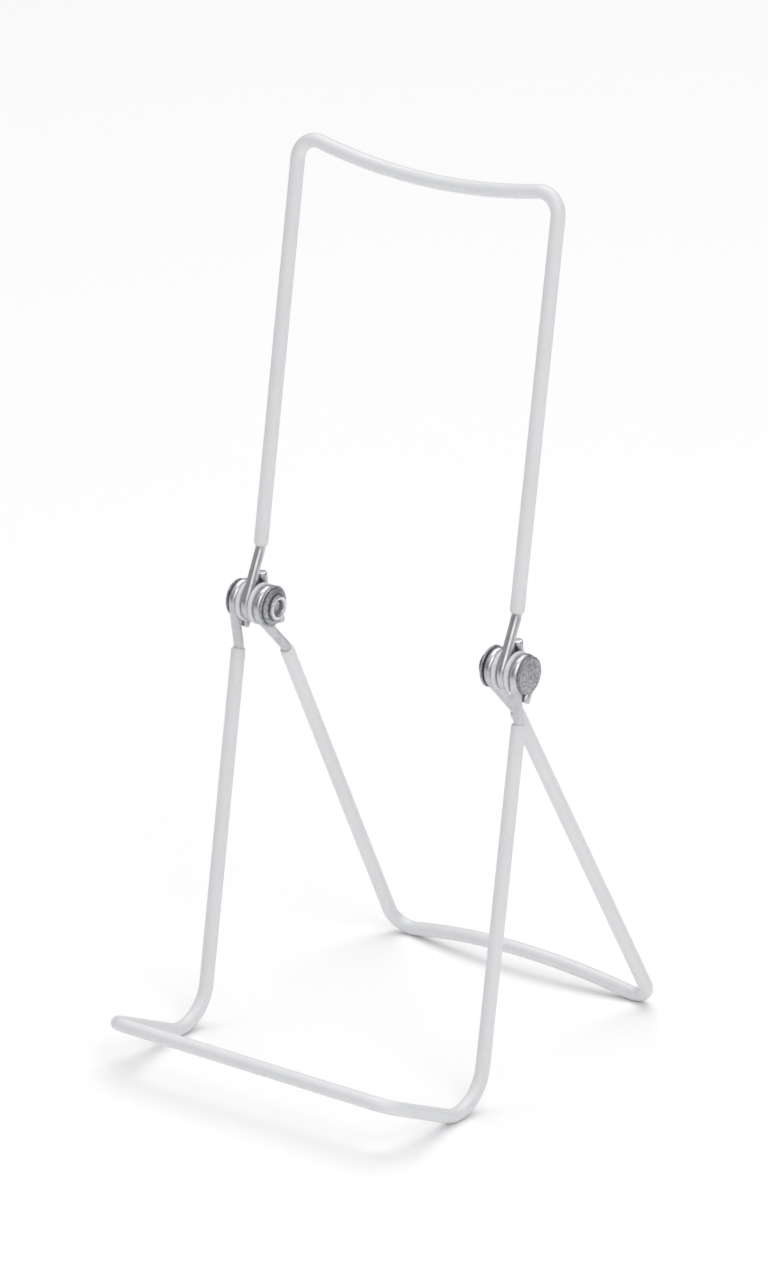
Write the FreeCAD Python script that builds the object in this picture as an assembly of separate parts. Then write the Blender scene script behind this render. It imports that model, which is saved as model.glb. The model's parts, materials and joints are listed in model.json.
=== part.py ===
import FreeCAD
import Part

import math
import os

from FreeCAD import Vector

# Adjustable wire stand for a photo album: three vinyl-coated steel wire loops on two riveted hinges.
# The front loop stands on the table and bends forward into a ledge, the backrest loop carries on its
# line upwards, and the rear leg loop props it from behind. All three turn about one axis along X.
# Frame: +X to the right, +Y to the back, +Z up. The origin is the middle of the stand's footprint,
# on the table. Each loop is drawn outwards from the hinge axis and the whole stand is then lifted
# onto the table. Lengths are in millimetres and angles in degrees.

# Wire and its coat
WIRE_D = 2.4
COAT_WALL = 0.5
COAT_END_ROUND = 0.35
WIRE_END_ROUND = 0.3
CORNER_R = 5.0  # centreline radius of the corners beside each crossbar
NECK_R = 5.0  # centreline radius where the bare neck meets the leg

# Backrest loop
BACKREST_HALF_WIDTH = 36.8  # hinge middle plane to wire centreline
BACKREST_LENGTH = 112.0  # hinge axis to the corner where leg and crossbar would meet
BACKREST_BOW = 4.5  # how far the crossbar dips towards the hinge
BACKREST_BARE = 13.6  # bare wire, from the hinge axis to the coat
LEAN = 8.8  # backrest and front legs, from the vertical

# Front loop, with the ledge
FRONT_LENGTH = 107.0
FRONT_FOOT_R = 10.0  # centreline radius of the bend that stands on the table
FRONT_BARE = 11.8
LEDGE_DEPTH = 38.2
LEDGE_ANGLE = 74.5  # between the front legs and the ledge

# Rear leg loop
REAR_ANGLE = 29.6  # from the vertical, with the stand open as for use
REAR_SPLAY = 5.0  # how much wider each side is at the feet than at the hinge
REAR_BOW = 6.3
REAR_BARE = 14.8

# Hinge
SHANK_R = 2.4
RUNNING_GAP = 0.05  # between moving faces, radially and along the axis
TAIL_ALONG = 7.0  # the eye's cut end, along the leg from the hinge axis
TAIL_CLEAR = 0.2  # between the cut end's side and the leg's line
NYLON_T = 1.1
NYLON_R = 5.0
NYLON_ROUND = 0.3
FLAT_T = 0.5
FLAT_R = 4.95
FLAT_ROUND = 0.12
CUP_R = 4.3
CUP_T = 0.4
CUP_RISE = 0.6
CUP_RIM_T = 0.28  # the rim is pressed thinner than the rest
CUP_RIM_WIDTH = 0.3
CUP_CROWN_WIDTH = 0.5  # flat ring round the bore, outside
CUP_BULGE = 0.72  # share of the rise that is reached midway between rim and bore
HEAD_R = 4.5
HEAD_EDGE = 0.5
HEAD_DOME = 0.38
HEAD_BEVEL = 0.18
DIMPLE_R = 0.6
DIMPLE_DEPTH = 0.12
DIMPLE_BOWL_R = 0.36  # where the dimple's wall turns into its floor
DIMPLE_BOWL_DEPTH = 0.1
ROLL_R = 3.1
ROLL_H = 0.8
HOLE_R = 1.75
HOLE_DEPTH = 1.5
DRILL_ANGLE = 59.0  # half of the drill point's angle

LENGTH_ROUNDS = 8  # corrections to the rear leg's length, the last far below a micrometre

# Worked out from the sizes above
WIRE_R = WIRE_D / 2
COAT_R = WIRE_R + COAT_WALL
EYE_R = SHANK_R + RUNNING_GAP + WIRE_R
BORE_R = SHANK_R + RUNNING_GAP
TAIL_BEHIND = WIRE_R + TAIL_CLEAR
PITCH = WIRE_D + NYLON_T + 2 * RUNNING_GAP
FRONT_HALF_WIDTH = BACKREST_HALF_WIDTH + PITCH
REAR_HALF_WIDTH = BACKREST_HALF_WIDTH - PITCH
HEAD_SEAT = FRONT_HALF_WIDTH + WIRE_R + RUNNING_GAP
NYLON_OUTER = BACKREST_HALF_WIDTH + WIRE_R + RUNNING_GAP
NYLON_INNER = REAR_HALF_WIDTH + WIRE_R + RUNNING_GAP
FLAT_SEAT = REAR_HALF_WIDTH - WIRE_R - RUNNING_GAP
CUP_SEAT = FLAT_SEAT - FLAT_T
ROLL_SEAT = CUP_SEAT - CUP_RISE - CUP_T

ACROSS = Vector(1, 0, 0)
ORIGIN = Vector(0, 0, 0)


class LoopPlane:
    """Places points given across, along a leg away from the hinge, and behind that leg."""

    def __init__(self, angle, upwards):
        lean = math.radians(angle)
        self.along = Vector(0, math.sin(lean), math.cos(lean))
        self.behind = Vector(0, math.cos(lean), -math.sin(lean))
        if not upwards:
            self.along = -self.along

    def at(self, across, along, behind=0.0):
        return ACROSS * across + self.along * along + self.behind * behind


def unit(vector):
    return vector * (1 / vector.Length)


def line(start, end):
    return Part.LineSegment(start, end).toShape()


def arc(start, middle, end):
    return Part.Arc(start, middle, end).toShape()


def bend_between(before, corner, after, radius):
    """Start, middle and end of the arc that rounds a corner between two straight runs."""
    back = unit(before - corner)
    ahead = unit(after - corner)
    half = back.getAngle(ahead) / 2
    reach = radius / math.tan(half)
    bisector = unit(back + ahead)
    centre = corner + bisector * (radius / math.sin(half))
    return corner + back * reach, centre - bisector * radius, corner + ahead * reach


def bent_run(points, radii):
    """Straight runs through the points, with each inner point rounded by its radius."""
    edges = []
    start = points[0]
    for before, corner, after, radius in zip(points, points[1:], points[2:], radii):
        first, middle, last = bend_between(before, corner, after, radius)
        edges.append(line(start, first))
        edges.append(arc(first, middle, last))
        start = last
    edges.append(line(start, points[-1]))
    return edges


def pipe(path, radius):
    """Solid round rod along a path of tangent lines and arcs."""
    first = path.Edges[0]
    point = first.valueAt(first.FirstParameter)
    ring = Part.Wire(Part.makeCircle(radius, point, first.tangentAt(first.FirstParameter)))
    return path.makePipeShell([ring], True, True)


def both_sides(edges):
    """Path of a whole loop, from the edges of its right half in order from the hinge to the middle."""
    mirrored = [edge.mirror(ORIGIN, ACROSS) for edge in edges]
    return Part.Wire(Part.__sortEdges__(edges + mirrored))


def round_ends(solid, ends, radius, size):
    """Rounds the circular edges of a given radius that are centred on the given points."""
    picked = []
    for edge in solid.Edges:
        if not isinstance(edge.Curve, Part.Circle) or abs(edge.Curve.Radius - radius) > 1e-6:
            continue
        if any((edge.Curve.Center - end).Length < 1e-6 for end in ends):
            picked.append(edge)
    return solid.makeFillet(size, picked)


def both(point):
    return point, Vector(-point.x, point.y, point.z)


def eye_edges(plane, across, bare, leg_end):
    """Cut end, eye round the rivet, neck and bend, up to where the coat starts on the leg."""
    neck_along = neck_corner(bare)
    neck_angle = -math.acos(EYE_R / neck_along)
    tail_reach = math.hypot(TAIL_ALONG, TAIL_BEHIND)
    tail_angle = math.atan2(TAIL_BEHIND, TAIL_ALONG) + math.acos(EYE_R / tail_reach) - 2 * math.pi

    def on_eye(angle):
        return plane.at(across, EYE_R * math.cos(angle), EYE_R * math.sin(angle))

    tail_end = plane.at(across, TAIL_ALONG, TAIL_BEHIND)
    neck = plane.at(across, neck_along)
    first, middle, coat_start = bend_between(on_eye(neck_angle), neck, leg_end, NECK_R)
    edges = [
        line(tail_end, on_eye(tail_angle)),
        arc(on_eye(tail_angle), on_eye((tail_angle + neck_angle) / 2), on_eye(neck_angle)),
        line(on_eye(neck_angle), first),
        arc(first, middle, coat_start),
    ]
    return edges, tail_end, coat_start


def neck_corner(bare):
    """How far along the leg its neck bend has its corner."""
    return bare - NECK_R * math.tan(math.asin(EYE_R / bare) / 2)


def bowed_corner(hinge_half, corner_half, length, bow, bare):
    """Corner between a leg and its bowed bar: centre, and leg, middle and bar points, in the plane."""
    bar_r = (corner_half**2 + bow**2) / (2 * bow)
    bar_centre = Vector(0, length - bow + bar_r, 0)
    leg_start = Vector(hinge_half, neck_corner(bare), 0)
    direction = unit(Vector(corner_half, length, 0) - leg_start)
    inward = Vector(-direction.y, direction.x, 0)
    offset = leg_start + inward * CORNER_R - bar_centre
    along = offset.dot(direction)
    spare = (bar_r + CORNER_R) ** 2 - (offset.dot(offset) - along**2)
    from_bar_centre = offset - direction * (along + math.sqrt(spare))
    centre = bar_centre + from_bar_centre
    to_leg = -inward
    to_bar = -unit(from_bar_centre)
    middle = unit(to_leg + to_bar)
    return centre, [centre + side * CORNER_R for side in (to_leg, middle, to_bar)]


def foot_reach(*corner_sizes):
    """How far from the hinge axis the middle of the wire gets, at the corner."""
    return bowed_corner(*corner_sizes)[0].y + CORNER_R


def bow_point(across, half_width, length, bow):
    """Distance along, at one place across, of a crossbar bowed through its middle and its corners."""
    bar_r = (half_width**2 + bow**2) / (2 * bow)
    return length - bow + bar_r - math.sqrt(bar_r**2 - across**2)


def portal_loop(plane, hinge_half, corner_half, length, bow, bare):
    """A loop of two legs and one bowed crossbar: its wire and its coat."""
    corner = bowed_corner(hinge_half, corner_half, length, bow, bare)[1]
    leg_end, corner_middle, bar_start = [plane.at(point.x, point.y) for point in corner]
    quarter = corner[2].x / 2
    bar_quarter = plane.at(quarter, bow_point(quarter, corner_half, length, bow))
    bar_middle = plane.at(0, length - bow)
    eye, tail_end, coat_start = eye_edges(plane, hinge_half, bare, leg_end)
    sleeve = [
        line(coat_start, leg_end),
        arc(leg_end, corner_middle, bar_start),
        arc(bar_start, bar_quarter, bar_middle),
    ]
    return finished_loop(eye, sleeve, tail_end, coat_start)


def front_loop(plane):
    """The loop that stands on the table and bends forward into the ledge."""
    ledge = math.radians(LEDGE_ANGLE)
    foot = plane.at(FRONT_HALF_WIDTH, FRONT_LENGTH)
    forward = -plane.behind * math.sin(ledge) - plane.along * math.cos(ledge)
    lip = foot + forward * LEDGE_DEPTH
    lip_middle = Vector(0, lip.y, lip.z)
    eye, tail_end, coat_start = eye_edges(plane, FRONT_HALF_WIDTH, FRONT_BARE, foot)
    sleeve = bent_run([coat_start, foot, lip, lip_middle], [FRONT_FOOT_R, CORNER_R])
    bend_middle = bend_between(coat_start, foot, lip, FRONT_FOOT_R)[1]
    bend_centre = bend_middle + unit(bend_middle - foot) * FRONT_FOOT_R
    drop = FRONT_FOOT_R - bend_centre.z
    return (*finished_loop(eye, sleeve, tail_end, coat_start), drop, -lip.y)


def finished_loop(eye, sleeve, tail_end, coat_start):
    """The bare wire from cut end to cut end, and the coat between the two hinges."""
    wire = pipe(both_sides(eye + sleeve), WIRE_R)
    wire = round_ends(wire, both(tail_end), WIRE_R, WIRE_END_ROUND)
    coated = both_sides(sleeve)
    coat = pipe(coated, COAT_R).cut(pipe(coated, WIRE_R))
    coat = round_ends(coat, both(coat_start), COAT_R, COAT_END_ROUND)
    return wire, coat


def turned(edges):
    """Solid turned about the hinge axis from a closed profile of (across, radius) edges."""
    face = Part.Face(Part.Wire(edges))
    return face.revolve(ORIGIN, ACROSS, 360)


def profile(*steps):
    """Closed profile: each step is an end point, or a middle and an end point for an arc."""
    edges = []
    points = [[Vector(x, r, 0) for x, r in step] for step in steps]
    start = points[-1][-1]
    for step in points:
        edges.append(arc(start, *step) if len(step) == 2 else line(start, step[0]))
        start = step[-1]
    return edges


def washer(seat, thickness, radius, rounding):
    """Flat washer whose inner face is at seat and which reaches outwards from there."""
    ring = turned(
        profile(
            [(seat, radius)],
            [(seat + thickness, radius)],
            [(seat + thickness, BORE_R)],
            [(seat, BORE_R)],
        )
    )
    rims = [e for e in ring.Edges if isinstance(e.Curve, Part.Circle) and e.Curve.Radius > radius - 1e-6]
    return ring.makeFillet(rounding, rims)


def cup_washer():
    """Domed spring washer, rim against the flat washer and crown towards the stand's middle."""
    crown = CUP_SEAT - CUP_RISE
    middle_r = (CUP_R + BORE_R) / 2
    sag = CUP_RISE * CUP_BULGE
    return turned(
        profile(
            [(CUP_SEAT, CUP_R)],
            [(CUP_SEAT - CUP_RIM_T, CUP_R)],
            [(CUP_SEAT - sag - CUP_T, middle_r), (crown - CUP_T, BORE_R + CUP_CROWN_WIDTH)],
            [(crown - CUP_T, BORE_R)],
            [(crown, BORE_R)],
            [(CUP_SEAT - sag, middle_r), (CUP_SEAT, CUP_R - CUP_RIM_WIDTH)],
        )
    )


def rivet():
    """Semi-tubular rivet: domed head outside, hollow tail rolled over the cup washer inside."""
    top = HEAD_SEAT + HEAD_EDGE
    crown = top + HEAD_DOME
    dome_r = HEAD_R - HEAD_BEVEL
    half_r = (dome_r + DIMPLE_R) / 2
    dome_sphere = (dome_r**2 + HEAD_DOME**2) / (2 * HEAD_DOME)

    def dome(radius):
        return crown - dome_sphere + math.sqrt(dome_sphere**2 - radius**2)

    end = ROLL_SEAT - ROLL_H
    lip_r = (ROLL_R + HOLE_R) / 2
    floor = end + HOLE_DEPTH
    roll_mid = (ROLL_R - HOLE_R) / 2
    ease = math.sqrt(0.5)
    return turned(
        profile(
            [(dome(DIMPLE_R) - DIMPLE_DEPTH, 0)],
            [(dome(DIMPLE_R) - DIMPLE_BOWL_DEPTH, DIMPLE_BOWL_R), (dome(DIMPLE_R), DIMPLE_R)],
            [(dome(half_r), half_r), (top, dome_r)],
            [(top - HEAD_BEVEL * (1 - ease), HEAD_R - HEAD_BEVEL * (1 - ease)), (top - HEAD_BEVEL, HEAD_R)],
            [(HEAD_SEAT + HEAD_BEVEL, HEAD_R)],
            [(HEAD_SEAT, HEAD_R - HEAD_BEVEL)],
            [(HEAD_SEAT, SHANK_R)],
            [(ROLL_SEAT, SHANK_R)],
            [(ROLL_SEAT, ROLL_R)],
            [(end + roll_mid, ROLL_R)],
            [(end + roll_mid * (1 - ease), lip_r + roll_mid * ease), (end, lip_r)],
            [(end + roll_mid * (1 - ease), lip_r - roll_mid * ease), (end + roll_mid, HOLE_R)],
            [(floor, HOLE_R)],
            [(floor + HOLE_R / math.tan(math.radians(DRILL_ANGLE)), 0)],
        )
    )


def build():
    """Every piece by node name, with the stand's feet on the table and its footprint centred."""
    backrest_wire, backrest_coat = portal_loop(
        LoopPlane(LEAN, upwards=True),
        BACKREST_HALF_WIDTH,
        BACKREST_HALF_WIDTH,
        BACKREST_LENGTH,
        BACKREST_BOW,
        BACKREST_BARE,
    )
    front_wire, front_coat, drop, front_reach = front_loop(LoopPlane(LEAN, upwards=False))

    # The rear leg is as long as it takes for its feet to be level with the front loop's feet
    rear_reach = drop / math.cos(math.radians(REAR_ANGLE))
    rear_half = REAR_HALF_WIDTH + REAR_SPLAY
    rear_length = rear_reach
    for _ in range(LENGTH_ROUNDS):
        rear_length += rear_reach - foot_reach(REAR_HALF_WIDTH, rear_half, rear_length, REAR_BOW, REAR_BARE)
    rear_wire, rear_coat = portal_loop(
        LoopPlane(-REAR_ANGLE, upwards=False),
        REAR_HALF_WIDTH,
        rear_half,
        rear_length,
        REAR_BOW,
        REAR_BARE,
    )

    pieces = {
        "backrest_wire": backrest_wire,
        "backrest_vinyl_coat": backrest_coat,
        "front_ledge_wire": front_wire,
        "front_ledge_vinyl_coat": front_coat,
        "rear_leg_wire": rear_wire,
        "rear_leg_vinyl_coat": rear_coat,
    }
    hinge = {
        "rivet": rivet(),
        "nylon_washer_outer": washer(NYLON_OUTER, NYLON_T, NYLON_R, NYLON_ROUND),
        "nylon_washer_inner": washer(NYLON_INNER, NYLON_T, NYLON_R, NYLON_ROUND),
        "flat_washer": washer(CUP_SEAT, FLAT_T, FLAT_R, FLAT_ROUND),
        "cup_spring_washer": cup_washer(),
    }
    for name, piece in hinge.items():
        pieces[name + "_right"] = piece
        pieces[name + "_left"] = piece.mirror(ORIGIN, ACROSS)

    rear_back = rear_reach * math.sin(math.radians(REAR_ANGLE))
    lift = Vector(0, (front_reach - rear_back) / 2, drop + COAT_R)
    for piece in pieces.values():
        piece.translate(lift)
    print("hinge axis at y %.4f z %.4f, rear leg length %.4f" % (lift.y, lift.z, rear_length))
    return pieces


os.makedirs("parts", exist_ok=True)
for node, solid in build().items():
    solid.exportStep("parts/" + node + ".step")
    print("%-28s %9.2f mm3  solids %d  valid %s" % (node, solid.Volume, len(solid.Solids), solid.isValid()))
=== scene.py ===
import json
import math

import bpy
from mathutils import Matrix, Vector


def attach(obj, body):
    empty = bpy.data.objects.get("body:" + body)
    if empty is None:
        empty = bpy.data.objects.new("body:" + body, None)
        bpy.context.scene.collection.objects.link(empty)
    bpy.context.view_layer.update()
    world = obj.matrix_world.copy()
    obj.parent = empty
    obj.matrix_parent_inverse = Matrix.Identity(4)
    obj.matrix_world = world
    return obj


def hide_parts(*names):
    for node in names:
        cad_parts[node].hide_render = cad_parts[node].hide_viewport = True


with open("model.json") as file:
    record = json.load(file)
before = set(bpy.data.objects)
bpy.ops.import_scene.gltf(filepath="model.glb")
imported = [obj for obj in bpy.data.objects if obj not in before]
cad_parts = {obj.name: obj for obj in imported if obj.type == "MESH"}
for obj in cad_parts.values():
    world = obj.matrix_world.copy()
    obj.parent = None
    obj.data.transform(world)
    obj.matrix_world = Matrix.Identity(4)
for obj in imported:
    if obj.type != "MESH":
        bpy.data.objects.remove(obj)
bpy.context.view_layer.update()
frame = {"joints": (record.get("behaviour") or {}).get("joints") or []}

# An adjustable wire stand for a photo album. Three bent wires, each dipped in white vinyl, turn on
# two rivets. Lengths are in metres. +X is across the stand, +Y to its back, +Z up.

MM = 0.001
HINGE = Vector(frame["joints"][0]["pos_m"])
ACROSS = Vector((1, 0, 0))

# Wire and its coat
WIRE_R = 1.2 * MM
COAT_R = 1.7 * MM
CORNER_R = 5.0 * MM
NECK_R = 5.0 * MM
SHOULDER = 1.1 * MM  # length of the coat's rounded end
SHOULDER_FULLNESS = 0.7  # below one is fuller than a quarter round
SHARE_GAP = 0.02 * MM  # between the wire and its coat, so that the two surfaces don't flicker
CUT_LENGTH = 0.22 * MM  # the wire's sheared end: its length, then steps of length and radius, as shares
CUT_END = ((0.0, 0.35), (0.02, 0.78), (0.5, 0.94), (1.0, 1.0))

# The three loops: half-width at the hinge and at the far end, length, bow of the bar, bare wire
LEAN = 8.8
BACKREST = dict(near=36.8 * MM, far=36.8 * MM, length=112.0 * MM, bow=4.5 * MM, bare=13.6 * MM)
REAR = dict(near=33.2 * MM, far=38.2 * MM, length=118.2705 * MM, bow=6.3 * MM, bare=14.8 * MM)
FRONT = dict(near=40.4 * MM, length=107.0 * MM, foot_r=10.0 * MM, bare=11.8 * MM)
LEDGE_DEPTH = 38.2 * MM
LEDGE_ANGLE = 74.5
REAR_ANGLE = 29.6

# Hinge, from the outside towards the middle of the stand
SHANK_R = 2.4 * MM
RUNNING_GAP = 0.05 * MM
TAIL_ALONG = 7.0 * MM
TAIL_BEHIND = 1.4 * MM
EYE_R = SHANK_R + RUNNING_GAP + WIRE_R
BORE_R = SHANK_R + RUNNING_GAP
NYLON_T = 1.1 * MM
NYLON_R = 5.0 * MM
NYLON_ROUND = 0.42 * MM
NYLON_BORE_ROUND = 0.12 * MM
FLAT_T = 0.5 * MM
FLAT_R = 4.95 * MM
FLAT_ROUND = 0.14 * MM
FLAT_BORE_BEVEL = 0.1 * MM
CUP_R = 4.3 * MM
CUP_T = 0.4 * MM
CUP_RISE = 0.6 * MM
CUP_RIM = 0.12 * MM  # width of the rolled-in rim
CUP_RIM_T = 0.22 * MM
CUP_TUCK = 0.1 * MM  # how far the inside stays within the outside, at the rim
CUP_CROWN = 0.35 * MM  # width of the flat ring round the bore
CUP_FULLNESS = 1.15
HEAD_R = 4.5 * MM
HEAD_EDGE = 0.5 * MM
HEAD_DOME = 0.38 * MM
HEAD_RIM = 0.22 * MM  # rounding of the head's outer edge
HEAD_BACK_ROUND = 0.2 * MM
HEAD_RIM_FROM = 15  # degrees of the rim's rounding that the dome has already made
DOME_MARGIN = 0.35 * MM  # between the dome's last ring and the rim
GROOVE_AT = 0.68 * HEAD_R  # faint ring on the head
GROOVE_WIDTH = 0.22 * MM
GROOVE_DEPTH = 0.035 * MM
DIMPLE_R = 0.55 * MM
DIMPLE = ((0.13 * MM, 0.3), (0.1 * MM, 0.75), (0.01 * MM, 1.0))  # depth, and share of its radius
ROLL_R = 3.1 * MM
ROLL_H = 0.8 * MM
HOLE_R = 1.75 * MM
HOLE_DEPTH = 1.5 * MM
DRILL_CONE = ((0.5 * MM, 0.5), (0.85 * MM, 0.08))  # depth under the hole's wall, share of its radius
ROLL_UNDERCUT = 0.16 * MM
EDGE_BREAK = 0.04 * MM  # bevel on the sharp edges of turned metal
BORE_BREAK = 0.05 * MM

HEAD_SEAT = FRONT["near"] + WIRE_R + RUNNING_GAP
NYLON_OUTER = BACKREST["near"] + WIRE_R + RUNNING_GAP
NYLON_INNER = REAR["near"] + WIRE_R + RUNNING_GAP
FLAT_SEAT = REAR["near"] - WIRE_R - RUNNING_GAP
CUP_SEAT = FLAT_SEAT - FLAT_T
ROLL_SEAT = CUP_SEAT - CUP_RISE - CUP_T

# The main view: turned to the right of the stand's front, from above, at a long focal length
VIEW_AZIMUTH = 36.51
VIEW_ELEVATION = 20.95
VIEW_ROLL = 0.32
VIEW_DISTANCE = 1.8267
VIEW_LENS = 222.3
AIM_RIGHT = 0.53 * MM  # the view's middle, right of and below the hinge axis
AIM_BELOW = 0.98 * MM

FLOOR_WIDTH = 60.0

# Colours, each pair from clean to dull
VINYL_TONES = ((0.765, 0.77, 0.777), (0.68, 0.686, 0.695))
WIRE_TONES = ((0.63, 0.635, 0.65), (0.42, 0.425, 0.44))
# the dull end of the plate colours also carries painted shade at the head's rim and round the rolled end
PLATE_TONES = ((0.56, 0.565, 0.58), (0.2, 0.205, 0.22))
ROLLED_BURNISH_AND_HIGHLIGHT = (0.8, 0.805, 0.815)  # plated steel where the rivet's end was rolled: partly burnished steel, partly a painted highlight on the rolled ring
NYLON_TONES = ((0.74, 0.745, 0.75), (0.64, 0.645, 0.65))
PAPER_TONES = ((0.97, 0.97, 0.97), (0.96, 0.96, 0.96))
HANDLED_TO = 12.0 * MM  # from the hinge axis: vinyl greyed by handling, which fades out further on
HANDLED_FADE = 9.0 * MM
TOOL_MARKS = 0.16 * MM  # pitch of the faint turned rings

# How finely the meshes are cut
ROUND_WIRE = 28  # sides of a wire
ROUND_WASHER = 96  # sides of a turned piece
CUT_EVERY = 2.5 * MM
EYE_CUT_EVERY = 1.2 * MM
BEND_STEP = 6.0  # degrees
SHOULDER_STEPS = 8
CUP_STEPS = 14
HEAD_STEPS = 14
MERGE = 1e-7  # points closer than this become one


# ---------------------------------------------------------------- shaping with operators


def nothing_selected():
    if bpy.context.object and bpy.context.object.mode != "OBJECT":
        bpy.ops.object.mode_set(mode="OBJECT")
    bpy.ops.object.select_all(action="DESELECT")


def piece_from_ring(name, radius, place, direction, sides):
    """A new mesh holding one ring of points that faces along direction, left open in edit mode."""
    nothing_selected()
    bpy.ops.mesh.primitive_circle_add(vertices=sides, radius=radius, location=place)
    piece = bpy.context.object
    piece.name = name
    piece.data.name = name
    piece.rotation_mode = "QUATERNION"
    piece.rotation_quaternion = direction.to_track_quat("Z", "X")
    bpy.ops.object.transform_apply(location=True, rotation=True, scale=True)
    bpy.ops.object.mode_set(mode="EDIT")
    bpy.ops.mesh.select_mode(type="VERT")
    bpy.ops.mesh.select_all(action="SELECT")
    return piece


def close_start():
    """Closes the first ring with a pole and leaves its rim chosen."""
    bpy.ops.mesh.edge_face_add()
    bpy.ops.mesh.poke()
    bpy.ops.mesh.select_all(action="DESELECT")
    bpy.ops.mesh.select_non_manifold()


def push(vector):
    """Extrudes the chosen ring along a vector."""
    bpy.ops.mesh.extrude_region_move(TRANSFORM_OT_translate={"value": tuple(vector)})


def widen(share, about):
    bpy.ops.transform.resize(value=(share, share, share), center_override=tuple(about))


def widen_round(share, about):
    """Widens a ring about the hinge axis and leaves its place along the axis."""
    bpy.ops.transform.resize(value=(1, share, share), center_override=tuple(about))


def finished(piece, smooth_below=35.0):
    """Closes a shaped piece: doubles merged, normals outwards, smooth but for its sharp edges."""
    bpy.ops.mesh.select_all(action="SELECT")
    bpy.ops.mesh.remove_doubles(threshold=MERGE)
    bpy.ops.mesh.normals_make_consistent(inside=False)
    bpy.ops.object.mode_set(mode="OBJECT")
    bpy.ops.object.shade_smooth_by_angle(angle=math.radians(smooth_below))
    return piece


def add_and_apply(piece, kind, **settings):
    modifier = piece.modifiers.new(kind.title(), kind)
    for key, value in settings.items():
        setattr(modifier, key, value)
    nothing_selected()
    piece.select_set(True)
    bpy.context.view_layer.objects.active = piece
    bpy.ops.object.modifier_apply(modifier=modifier.name)


# ---------------------------------------------------------------- wires


class Run:
    """A straight length of wire."""

    def __init__(self, start, end, cut_every=CUT_EVERY):
        self.start, self.end = start, end
        self.cuts = max(1, round((end - start).length / cut_every))

    def shape(self):
        for _ in range(self.cuts):
            push((self.end - self.start) / self.cuts)

    def back(self):
        turned = Run(self.end, self.start)
        turned.cuts = self.cuts
        return turned


class Bend:
    """A curved length of wire, round a centre."""

    def __init__(self, start, end, centre, axis, angle):
        self.start, self.end, self.centre, self.axis, self.angle = start, end, centre, axis, angle
        arc_length = (start - centre).length * abs(angle)
        self.steps = max(2, round(math.degrees(abs(angle)) / BEND_STEP), round(arc_length / CUT_EVERY))

    def shape(self):
        bpy.ops.mesh.spin(
            steps=self.steps,
            angle=-self.angle,  # spin turns against the right-hand rule
            center=tuple(self.centre),
            axis=tuple(self.axis),
            use_auto_merge=False,
        )

    def back(self):
        turned = Bend(self.end, self.start, self.centre, self.axis, -self.angle)
        turned.steps = self.steps
        return turned


def bend_from_tangent(start, end, direction):
    """The arc that leaves start along a direction and reaches end."""
    chord = end - start
    axis = direction.cross(chord).normalized()
    side = axis.cross(direction).normalized()
    radius = chord.length_squared / (2 * chord.dot(side))
    angle = 2 * direction.angle(chord)
    return Bend(start, end, start + side * radius, axis, angle)


def rounded_corner(before, corner, after, radius):
    """Start of the bend and the bend itself, for one corner between two straight lengths."""
    back = (before - corner).normalized()
    ahead = (after - corner).normalized()
    reach = radius / math.tan(back.angle(ahead) / 2)
    start = corner + back * reach
    return start, bend_from_tangent(start, corner + ahead * reach, -back)


class LoopPlane:
    """Places points given across, along a leg away from the hinge, and behind that leg."""

    def __init__(self, angle, upwards):
        lean = math.radians(angle)
        self.along = Vector((0, math.sin(lean), math.cos(lean)))
        self.behind = Vector((0, math.cos(lean), -math.sin(lean)))
        if not upwards:
            self.along = -self.along

    def at(self, across, along, behind=0.0):
        return HINGE + ACROSS * across + self.along * along + self.behind * behind


def neck_length(bare):
    """Along the leg to the neck's corner, whose bend ends where the coat starts."""
    return bare - NECK_R * math.tan(math.asin(EYE_R / bare) / 2)


def eye_path(plane, across, bare, leg_end):
    """Cut end, eye round the rivet, neck, and the bend into the leg."""
    neck_along = neck_length(bare)
    neck_angle = -math.acos(EYE_R / neck_along)
    tail_reach = math.hypot(TAIL_ALONG, TAIL_BEHIND)
    tail_angle = math.atan2(TAIL_BEHIND, TAIL_ALONG) + math.acos(EYE_R / tail_reach) - 2 * math.pi

    def on_eye(angle):
        return plane.at(across, EYE_R * math.cos(angle), EYE_R * math.sin(angle))

    tail = plane.at(across, TAIL_ALONG, TAIL_BEHIND)
    centre = plane.at(across, 0)
    axis = plane.along.cross(plane.behind)
    neck, neck_bend = rounded_corner(on_eye(neck_angle), plane.at(across, neck_along), leg_end, NECK_R)
    return [
        Run(tail, on_eye(tail_angle), EYE_CUT_EVERY),
        Bend(on_eye(tail_angle), on_eye(neck_angle), centre, axis, neck_angle - tail_angle),
        Run(on_eye(neck_angle), neck, EYE_CUT_EVERY),
        neck_bend,
    ]


def bowed_corner(neck_along, loop):
    """Corner between a leg and the bowed bar: points on the leg and on the bar, as (across, along)."""
    half, bow = loop["far"], loop["bow"]
    bar_r = (half**2 + bow**2) / (2 * bow)
    bar_centre = loop["length"] - bow + bar_r
    direction = Vector((half - loop["near"], loop["length"] - neck_along)).normalized()
    inward = Vector((-direction.y, direction.x))
    offset = Vector((loop["near"], neck_along - bar_centre)) + inward * CORNER_R
    along = offset.dot(direction)
    spare = (bar_r + CORNER_R) ** 2 - (offset.dot(offset) - along**2)
    centre = offset + direction * (-along - math.sqrt(spare))
    on_leg = centre - inward * CORNER_R
    on_bar = centre * (bar_r / (bar_r + CORNER_R))
    return [(p.x, p.y + bar_centre) for p in (on_leg, on_bar)]


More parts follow.
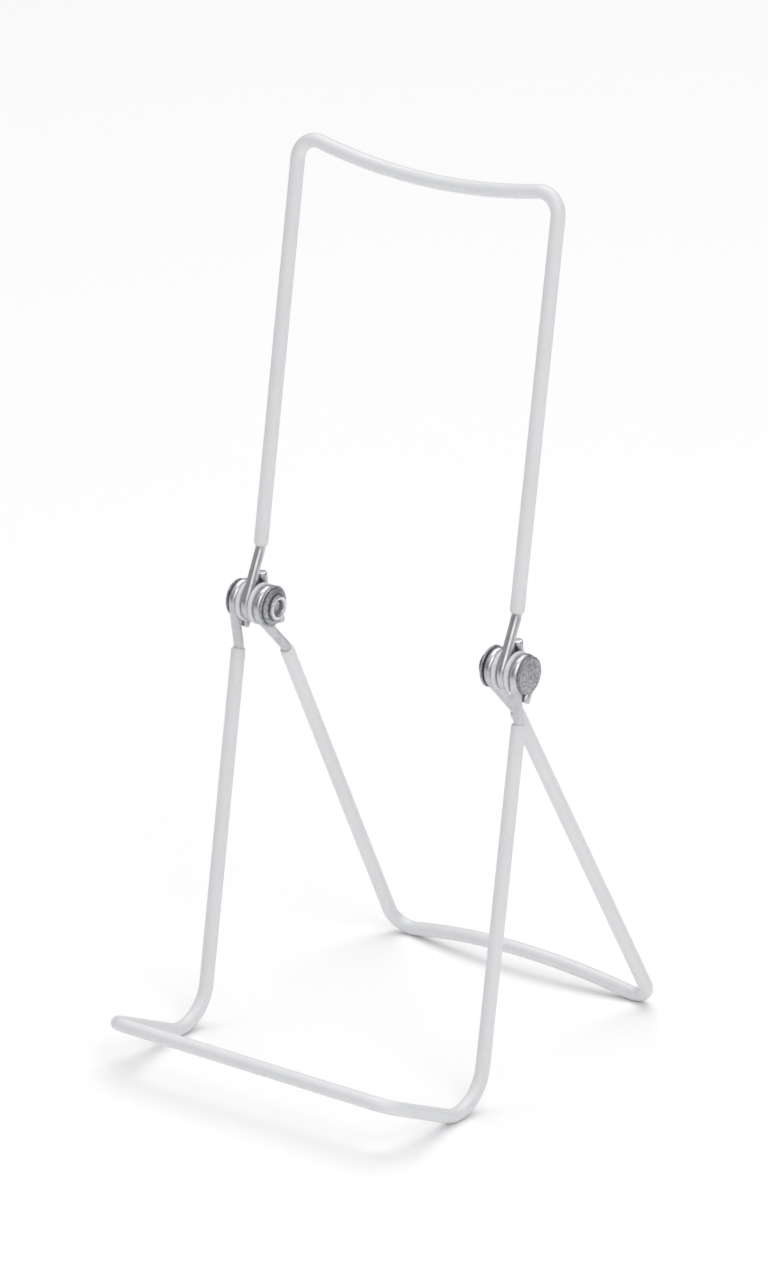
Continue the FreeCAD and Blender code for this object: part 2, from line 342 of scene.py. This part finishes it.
def portal_paths(plane, loop):
    """Bare and coated lengths of the right half of a loop with a bowed bar."""
    on_leg, on_bar = [plane.at(*point) for point in bowed_corner(neck_length(loop["bare"]), loop)]
    eye = eye_path(plane, loop["near"], loop["bare"], on_leg)
    coat_start = eye[-1].end
    middle = plane.at(0, loop["length"] - loop["bow"])
    corner = bend_from_tangent(on_leg, on_bar, (on_leg - coat_start).normalized())
    bar = bend_from_tangent(middle, on_bar, ACROSS).back()
    return eye, [Run(coat_start, on_leg), corner, bar]


def front_paths(plane):
    """Bare and coated lengths of the right half of the front loop and its ledge."""
    ledge = math.radians(LEDGE_ANGLE)
    foot = plane.at(FRONT["near"], FRONT["length"])
    forward = -plane.behind * math.sin(ledge) - plane.along * math.cos(ledge)
    lip = foot + forward * LEDGE_DEPTH
    lip_middle = Vector((0, lip.y, lip.z))
    eye = eye_path(plane, FRONT["near"], FRONT["bare"], foot)
    coat_start = eye[-1].end
    above_foot, foot_bend = rounded_corner(coat_start, foot, lip, FRONT["foot_r"])
    behind_lip, lip_bend = rounded_corner(foot, lip, lip_middle, CORNER_R)
    sleeve = [
        Run(coat_start, above_foot),
        foot_bend,
        Run(foot_bend.end, behind_lip),
        lip_bend,
        Run(lip_bend.end, lip_middle),
    ]
    return eye, sleeve


def follow(path):
    for length in path:
        length.shape()


def mirrored_whole(piece):
    """The other half of a loop, welded on at the stand's middle plane."""
    add_and_apply(piece, "MIRROR", merge_threshold=10 * MERGE)
    bpy.ops.object.mode_set(mode="EDIT")
    return finished(piece)


def bare_wire(name, path):
    """Bright wire from its sheared end, round the eye, and on inside its coat."""
    first = path[0]
    direction = (first.end - first.start).normalized()
    piece = piece_from_ring(name, WIRE_R * CUT_END[0][1], first.start, direction, ROUND_WIRE)
    close_start()
    centre = first.start
    for (_, last), (forward, wanted) in zip(CUT_END, CUT_END[1:]):
        step = first.start + direction * CUT_LENGTH * forward - centre
        push(step)
        centre = centre + step
        widen(wanted / last, centre)
    follow([Run(centre, first.end, EYE_CUT_EVERY)] + path[1:])
    bpy.ops.mesh.select_all(action="DESELECT")
    return mirrored_whole(piece)


def vinyl_coat(name, sleeve):
    """Sleeve of vinyl with a rounded shoulder at each end, open round its wire all the way through."""
    back = [length.back() for length in reversed(sleeve)]
    leg = back[-1]
    towards_hinge = (leg.end - leg.start).normalized()
    shoulder_start = leg.end - towards_hinge * SHOULDER
    piece = piece_from_ring(name, COAT_R, sleeve[-1].end, ACROSS, ROUND_WIRE)
    follow(back[:-1] + [Run(leg.start, shoulder_start)])
    centre = shoulder_start
    radius = COAT_R
    inner = WIRE_R + SHARE_GAP
    for step in range(1, SHOULDER_STEPS + 1):
        turn = math.pi / 2 * step / SHOULDER_STEPS
        reached = shoulder_start + towards_hinge * SHOULDER * math.sin(turn)
        wanted = inner + (COAT_R - inner) * max(0.0, math.cos(turn)) ** SHOULDER_FULLNESS
        push(reached - centre)
        centre = reached
        widen(wanted / radius, centre)
        radius = wanted
    follow([Run(centre, shoulder_start), Run(shoulder_start, leg.start)] + sleeve[1:])
    bpy.ops.mesh.select_all(action="DESELECT")
    return mirrored_whole(piece)


# ---------------------------------------------------------------- turned pieces of the hinge


def quarter(centre_x, centre_r, radius_x, radius_r, first, last, steps=6):
    """Points (across, radius) on a rounded edge, between two angles in degrees."""
    points = []
    for step in range(steps + 1):
        turn = math.radians(first + (last - first) * step / steps)
        points.append((centre_x + radius_x * math.cos(turn), centre_r + radius_r * math.sin(turn)))
    return points


def turned_piece(name, profile, side, closed_ring, smooth_below=35.0):
    """A piece turned about the hinge axis from (across, radius) points: a ring or a solid with poles."""
    x, radius = profile[0]
    on_axis = Vector((side * x, HINGE.y, HINGE.z))
    piece = piece_from_ring(name, radius, on_axis, ACROSS, ROUND_WASHER)
    if not closed_ring:
        close_start()
    for next_x, next_radius in profile[1:] + (profile[:1] if closed_ring else []):
        push((side * (next_x - x), 0, 0))
        on_axis.x = side * next_x
        widen_round(next_radius / radius, on_axis)
        x, radius = next_x, next_radius
    if not closed_ring:
        bpy.ops.mesh.edge_face_add()
        bpy.ops.mesh.poke()
    return finished(piece, smooth_below)


def nylon_washer(name, seat, side):
    soft, fillet = NYLON_ROUND, NYLON_BORE_ROUND
    far = seat + NYLON_T
    profile = quarter(far - soft, NYLON_R - soft, soft, soft, 0, 90)
    profile += quarter(seat + soft, NYLON_R - soft, soft, soft, 90, 180)
    profile += quarter(seat + fillet, BORE_R + fillet, fillet, fillet, 180, 270, 3)
    profile += quarter(far - fillet, BORE_R + fillet, fillet, fillet, 270, 360, 3)
    return turned_piece(name, profile, side, closed_ring=True, smooth_below=60.0)


def flat_washer(name, side):
    soft, bevel = FLAT_ROUND, FLAT_BORE_BEVEL
    far = CUP_SEAT + FLAT_T
    profile = quarter(far - soft, FLAT_R - soft, soft, soft, 0, 90, 4)
    profile += quarter(CUP_SEAT + soft, FLAT_R - soft, soft, soft, 90, 180, 4)
    profile += [(CUP_SEAT, BORE_R + bevel), (CUP_SEAT + bevel, BORE_R)]
    profile += [(far - bevel, BORE_R), (far, BORE_R + bevel)]
    return turned_piece(name, profile, side, closed_ring=True)


def cup_washer(name, side):
    """Domed spring washer: rim on the flat washer, crown under the rolled rivet end."""
    outer = []
    inner = []
    for step in range(CUP_STEPS + 1):
        share = step / CUP_STEPS
        radius = CUP_R - CUP_RIM + (BORE_R + CUP_CROWN - CUP_R + CUP_RIM) * share
        rise = CUP_RISE * math.sin(math.pi / 2 * share) ** CUP_FULLNESS
        outer.append((CUP_SEAT - rise - CUP_T, radius))
        inner.append((CUP_SEAT - rise, radius - CUP_TUCK * (1 - share)))
    lip = [(CUP_SEAT - BORE_BREAK, CUP_R - EDGE_BREAK / 2), (CUP_SEAT - CUP_RIM_T, CUP_R)]
    bore = [(CUP_SEAT - CUP_RISE - CUP_T, BORE_R + BORE_BREAK), (CUP_SEAT - CUP_RISE, BORE_R)]
    profile = lip + outer + bore + list(reversed(inner))
    return turned_piece(name, profile, side, closed_ring=True, smooth_below=50.0)


def head_profile():
    """Outside of the rivet's head: dimple, shallow dome with a faint ring, rounded rim, flat back."""
    top = HEAD_SEAT + HEAD_EDGE
    dome_r = HEAD_R - HEAD_RIM
    dome_end = dome_r - DOME_MARGIN
    points = [(top + HEAD_DOME - depth, DIMPLE_R * share) for depth, share in DIMPLE]
    for step in range(1, HEAD_STEPS + 1):
        radius = DIMPLE_R + (dome_end - DIMPLE_R) * step / HEAD_STEPS
        ring = GROOVE_DEPTH * math.exp(-(((radius - GROOVE_AT) / GROOVE_WIDTH) ** 2))
        points.append((top + HEAD_DOME * (1 - (radius / dome_r) ** 2) - ring, radius))
    points += quarter(top - HEAD_RIM + EDGE_BREAK, dome_r, HEAD_RIM, HEAD_RIM, HEAD_RIM_FROM, 90)
    back = HEAD_BACK_ROUND
    points += quarter(HEAD_SEAT + back, HEAD_R - back, back, back, 90, 180, 4)
    return points


def tail_profile():
    """Rolled end of the rivet, its hole, and the drilled cone at the bottom of the hole."""
    end = ROLL_SEAT - ROLL_H
    middle = (ROLL_R + HOLE_R) / 2
    roll = (ROLL_R - HOLE_R) / 2
    depth = end + HOLE_DEPTH
    points = [(ROLL_SEAT, ROLL_R - ROLL_UNDERCUT), (ROLL_SEAT - BORE_BREAK, ROLL_R - EDGE_BREAK)]
    points += quarter(end + roll, middle, -roll, roll, 90, -90, 16)
    points.append((depth, HOLE_R))
    points += [(depth + further, HOLE_R * share) for further, share in DRILL_CONE]
    return points


def rivet(name, side):
    """Semi-tubular rivet: head outside, shank through the hinge, hollow end rolled outwards."""
    shank = [(HEAD_SEAT, SHANK_R + EDGE_BREAK), (HEAD_SEAT - EDGE_BREAK, SHANK_R), (ROLL_SEAT, SHANK_R)]
    profile = head_profile() + shank + tail_profile()
    return turned_piece(name, profile, side, closed_ring=False, smooth_below=50.0)


# ---------------------------------------------------------------- materials


class Nodes:
    """Node tree of one material or of the world."""

    def __init__(self, owner):
        self.owner = owner
        owner.use_nodes = True
        self.tree = owner.node_tree
        self.tree.nodes.clear()

    def node(self, kind, settings=None, output=0, **sockets):
        """Adds a node, makes its settings, fills its sockets and returns one output, or several."""
        made = self.tree.nodes.new(kind)
        for key, value in (settings or {}).items():
            if key == "stops":
                ramp = made.color_ramp
                for place, (position, colour) in enumerate(value):
                    stop = ramp.elements[place] if place < 2 else ramp.elements.new(position)
                    stop.position = position
                    stop.color = (*colour, 1)
            else:
                setattr(made, key, value)
        for key, value in sockets.items():
            numbered = key[0] == "i" and key[1:].isdigit()
            socket = made.inputs[int(key[1:]) if numbered else key.replace("_", " ")]
            if isinstance(value, Signal):
                self.tree.links.new(value.socket, socket)
            else:
                socket.default_value = value
        if isinstance(output, tuple):
            return [Signal(self, made.outputs[number]) for number in output]
        return Signal(self, made.outputs[output]) if made.outputs else None


def new_material(name):
    return Nodes(bpy.data.materials.new(name))


def surface(nodes, shader):
    nodes.node("ShaderNodeOutputMaterial", Surface=shader)
    return nodes.owner


class Signal:
    """A socket's value, for use in sums."""

    def __init__(self, nodes, socket):
        self.nodes = nodes
        self.socket = socket

    def maths(self, operation, left, right=0.0, clamp=False):
        settings = {"operation": operation, "use_clamp": clamp}
        return self.nodes.node("ShaderNodeMath", settings, i0=left, i1=right)

    def __add__(self, other):
        return self.maths("ADD", self, other)

    def __radd__(self, other):
        return self.maths("ADD", other, self)

    def __sub__(self, other):
        return self.maths("SUBTRACT", self, other)

    def __rsub__(self, other):
        return self.maths("SUBTRACT", other, self)

    def __mul__(self, other):
        return self.maths("MULTIPLY", self, other)

    def __pow__(self, other):
        return self.maths("POWER", self, other)

    def sine(self):
        return self.maths("SINE", self)

    def root(self):
        return self.maths("SQRT", self)

    def clamped(self):
        return self.maths("ADD", self, 0.0, clamp=True)

    def near(self, place, width):
        """One at a place, falling to nothing within a width on either side."""
        distance = ((self - place) ** 2.0).root()
        return (1.0 - distance * (1 / width)).clamped()


def places(nodes):
    """Object coordinates, whole and as three numbers."""
    whole = nodes.node("ShaderNodeTexCoord", output=3)
    return whole, nodes.node("ShaderNodeSeparateXYZ", output=(0, 1, 2), Vector=whole)


def from_axis(parts):
    """Distance from the hinge axis."""
    _, y, z = parts
    return ((y - HINGE.y) ** 2.0 + (z - HINGE.z) ** 2.0).root()


def noise(nodes, place, per_metre, detail=3.0, roughness=0.5):
    return nodes.node(
        "ShaderNodeTexNoise", Vector=place, Scale=per_metre, Detail=detail, Roughness=roughness
    )


def between(nodes, share, low, high):
    """A colour between two, by a share. Each is three numbers or another node's colour."""
    low, high = [end if isinstance(end, Signal) else (*end, 1) for end in (low, high)]
    return nodes.node("ShaderNodeMix", {"data_type": "RGBA"}, output=2, i0=share, i6=low, i7=high)


def bump(nodes, height, depth):
    return nodes.node("ShaderNodeBump", Height=height, Distance=depth, Strength=1.0)


def white_vinyl():
    """Dipped vinyl: soft gloss, faint waviness along the wire, a fine mottle, greyer by the hinge."""
    nodes = new_material("white_vinyl")
    place, parts = places(nodes)
    waves = noise(nodes, place, 130.0, detail=2.0)
    peel = noise(nodes, place, 1400.0, detail=2.0)
    mottle = noise(nodes, place, 2600.0, detail=1.0)
    cloud = noise(nodes, place, 60.0, detail=4.0)
    handled = (1.0 - (from_axis(parts) - HANDLED_TO) * (1 / HANDLED_FADE)).clamped()
    tone = (cloud * 0.6 + handled * 0.4 + (mottle - 0.5) * 1.1).clamped()
    shader = nodes.node(
        "ShaderNodeBsdfPrincipled",
        Base_Color=between(nodes, tone, *VINYL_TONES),
        Roughness=0.3 + cloud * 0.12 + handled * 0.06,
        Normal=bump(nodes, waves * 0.75 + peel * 0.12 + mottle * 0.05, 0.09 * MM),
        Coat_Weight=0.15,
        Coat_Roughness=0.2,
        IOR=1.5,
        Subsurface_Weight=0.12,
        Subsurface_Radius=(1.0, 0.95, 0.9),
        Subsurface_Scale=0.6 * MM,
    )
    return surface(nodes, shader)


def bright_wire():
    """Drawn steel wire, bright plated, with fine draw marks and dull patches where it was bent."""
    nodes = new_material("bright_wire")
    place, _ = places(nodes)
    scratches = noise(nodes, place, 2600.0, detail=5.0, roughness=0.7)
    patches = noise(nodes, place, 420.0, detail=3.0)
    tone = (patches * 1.5 - 0.35).clamped()
    shader = nodes.node(
        "ShaderNodeBsdfPrincipled",
        Base_Color=between(nodes, tone, *WIRE_TONES),
        Metallic=1.0,
        Roughness=0.24 + tone * 0.12 + scratches * 0.1,
        Normal=bump(nodes, scratches, 0.014 * MM),
    )
    return surface(nodes, shader)


def plated_steel():
    """Zinc-plated rivets and washers: grainy grey, with painted shade in a ring at the head's edge and in
    the groove round the rolled end; the rolled end and the bore are lighter, partly bare steel and partly
    a painted highlight.
    """
    nodes = new_material("plated_steel")
    place, parts = places(nodes)
    radius = from_axis(parts)
    rings = (radius * (2 * math.pi / TOOL_MARKS)).sine() * 0.5 + 0.5
    grain = noise(nodes, place, 2000.0, detail=4.0, roughness=0.75)
    patches = noise(nodes, place, 500.0, detail=3.0)
    # painted shade: a darker ring at the head's rounded outer edge, and at that radius on the washers as
    # well
    painted_rim_shade = radius.near(HEAD_R - 0.15 * MM, 0.4 * MM)
    inside = (((parts[0] * parts[0]).root() - NYLON_INNER) * (-1 / MM)).clamped()
    # the bore and the rolled ring are brightened towards the rolled colour: partly bare burnished steel,
    # partly a painted highlight
    bore = ((radius - HOLE_R) * (-1 / (0.1 * MM)) + 1.0).clamped() * inside
    # painted shade: darker in the groove where the rolled end meets the domed washer
    painted_groove_shade = radius.near(ROLL_R + 0.1 * MM, 0.3 * MM) * inside
    roll = radius.near((ROLL_R + HOLE_R) / 2, 0.6 * MM) * inside
    burnish_and_highlight = (bore * 0.3 + roll * 1.3).clamped()
    tone = (patches * 0.9 + (grain - 0.5) * 3.2 + painted_rim_shade * 0.4 + painted_groove_shade - 0.05).clamped()
    plain = between(nodes, tone, *PLATE_TONES)
    shader = nodes.node(
        "ShaderNodeBsdfPrincipled",
        Base_Color=between(nodes, burnish_and_highlight, plain, ROLLED_BURNISH_AND_HIGHLIGHT),
        Metallic=1.0,
        Roughness=0.36 + tone * 0.12 + grain * 0.1 - burnish_and_highlight * 0.2,
        Normal=bump(nodes, rings * 0.1 + grain, 0.1 * MM),
    )
    return surface(nodes, shader)


def white_nylon():
    """Moulded nylon: milky, satin, slightly marked where it rubs."""
    nodes = new_material("white_nylon")
    place, _ = places(nodes)
    grain = noise(nodes, place, 1800.0, detail=3.0)
    cloud = noise(nodes, place, 260.0, detail=3.0)
    shader = nodes.node(
        "ShaderNodeBsdfPrincipled",
        Base_Color=between(nodes, cloud, *NYLON_TONES),
        Roughness=0.38 + cloud * 0.14,
        Normal=bump(nodes, grain, 0.02 * MM),
        IOR=1.53,
        Subsurface_Weight=0.3,
        Subsurface_Radius=(1.0, 0.97, 0.92),
        Subsurface_Scale=0.8 * MM,
    )
    return surface(nodes, shader)


def backdrop_paper():
    nodes = new_material("backdrop_paper")
    place, _ = places(nodes)
    shader = nodes.node(
        "ShaderNodeBsdfPrincipled",
        Base_Color=between(nodes, noise(nodes, place, 6.0), *PAPER_TONES),
        Roughness=0.85,
    )
    return surface(nodes, shader)


# ---------------------------------------------------------------- putting it together


def dress(piece, node, body, material):
    piece.data.materials.clear()
    piece.data.materials.append(material)
    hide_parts(node)
    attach(piece, body)


def make_loops(vinyl, steel):
    loops = {
        "backrest": portal_paths(LoopPlane(LEAN, upwards=True), BACKREST),
        "front_ledge": front_paths(LoopPlane(LEAN, upwards=False)),
        "rear_leg": portal_paths(LoopPlane(-REAR_ANGLE, upwards=False), REAR),
    }
    for body, (eye, sleeve) in loops.items():
        wire = bare_wire(body + "_bent_wire", eye + sleeve)
        dress(wire, body + "_wire", body, steel)
        coat = vinyl_coat(body + "_dipped_vinyl", sleeve)
        dress(coat, body + "_vinyl_coat", body, vinyl)


def make_hinges(steel, nylon):
    for side, word in ((1, "right"), (-1, "left")):
        hinge = [
            (rivet("rolled_rivet_" + word, side), "rivet_" + word, steel, "plated_steel"),
            (flat_washer("plain_washer_" + word, side), "flat_washer_" + word, steel, "plated_steel"),
            (cup_washer("domed_washer_" + word, side), "cup_spring_washer_" + word, steel, "plated_steel"),
        ]
        for place, seat in (("outer", NYLON_OUTER), ("inner", NYLON_INNER)):
            washer = nylon_washer("spacer_" + place + "_" + word, seat, side)
            hinge.append((washer, "nylon_washer_" + place + "_" + word, nylon, "white_nylon"))
        for piece, node, material, slot in hinge:
            dress(piece, node, "front_ledge", material)


def make_floor():
    """A pale floor, wide enough to reach the horizon from every side."""
    nothing_selected()
    bpy.ops.mesh.primitive_plane_add(size=FLOOR_WIDTH, location=(0, 0, 0))
    floor = bpy.context.object
    floor.name = "backdrop"
    floor.data.materials.append(backdrop_paper())


def view_axes():
    a, e, r = [math.radians(v) for v in (VIEW_AZIMUTH, VIEW_ELEVATION, VIEW_ROLL)]
    back = Vector((math.sin(a) * math.cos(e), -math.cos(a) * math.cos(e), math.sin(e)))
    right = Vector((math.cos(a), math.sin(a), 0))
    up = back.cross(right)
    return back, right * math.cos(r) + up * math.sin(r), up * math.cos(r) - right * math.sin(r)


def make_camera():
    back, right, up = view_axes()
    bpy.ops.object.camera_add()
    camera = bpy.context.object
    turned = Matrix((right, up, back)).transposed().to_4x4()
    aim = HINGE + right * AIM_RIGHT - up * AIM_BELOW
    camera.matrix_world = Matrix.Translation(aim + back * VIEW_DISTANCE) @ turned
    camera.data.lens = VIEW_LENS
    camera.data.sensor_width = 36.0
    camera.data.clip_start = 0.01
    camera.data.clip_end = 50.0
    bpy.context.scene.camera = camera


def soft_box(name, place, size, power):
    bpy.ops.object.light_add(type="AREA", location=place)
    light = bpy.context.object
    light.name = name
    light.data.shape = "RECTANGLE"
    light.data.size, light.data.size_y = size
    light.data.energy = power
    light.visible_camera = False
    light.rotation_euler = (HINGE - Vector(place)).to_track_quat("-Z", "Y").to_euler()


def studio_room():
    """The room round the soft boxes: pale overhead, greyer towards the horizon."""
    world = bpy.data.worlds.new("studio")
    bpy.context.scene.world = world
    room = Nodes(world)
    direction = room.node("ShaderNodeTexCoord", output=0)
    height = room.node("ShaderNodeSeparateXYZ", output=2, Vector=direction)
    stops = [(0.0, (0.1, 0.1, 0.105)), (1.0, (0.76, 0.76, 0.77)), (0.45, (0.3, 0.3, 0.31))]
    shade = room.node("ShaderNodeValToRGB", {"stops": stops}, Fac=height)
    light = room.node("ShaderNodeBackground", Color=shade, Strength=1.0)
    room.node("ShaderNodeOutputWorld", Surface=light)


def make_lights():
    back, right, _ = view_axes()
    soft_box("key", (0.9, -0.55, 1.15), (0.7, 0.7), 4.0)
    soft_box("fill", (-1.0, -0.7, 0.7), (0.6, 1.2), 1.0)
    soft_box("top", (-0.35, 0.75, 2.4), (2.4, 2.4), 33.0)
    soft_box("front", tuple(HINGE + back * 2.6 + right * 0.35), (2.6, 1.0), 13.0)
    studio_room()


bpy.context.scene.view_settings.view_transform = "Standard"
make_camera()
make_lights()
make_floor()
make_loops(white_vinyl(), bright_wire())
make_hinges(plated_steel(), white_nylon())
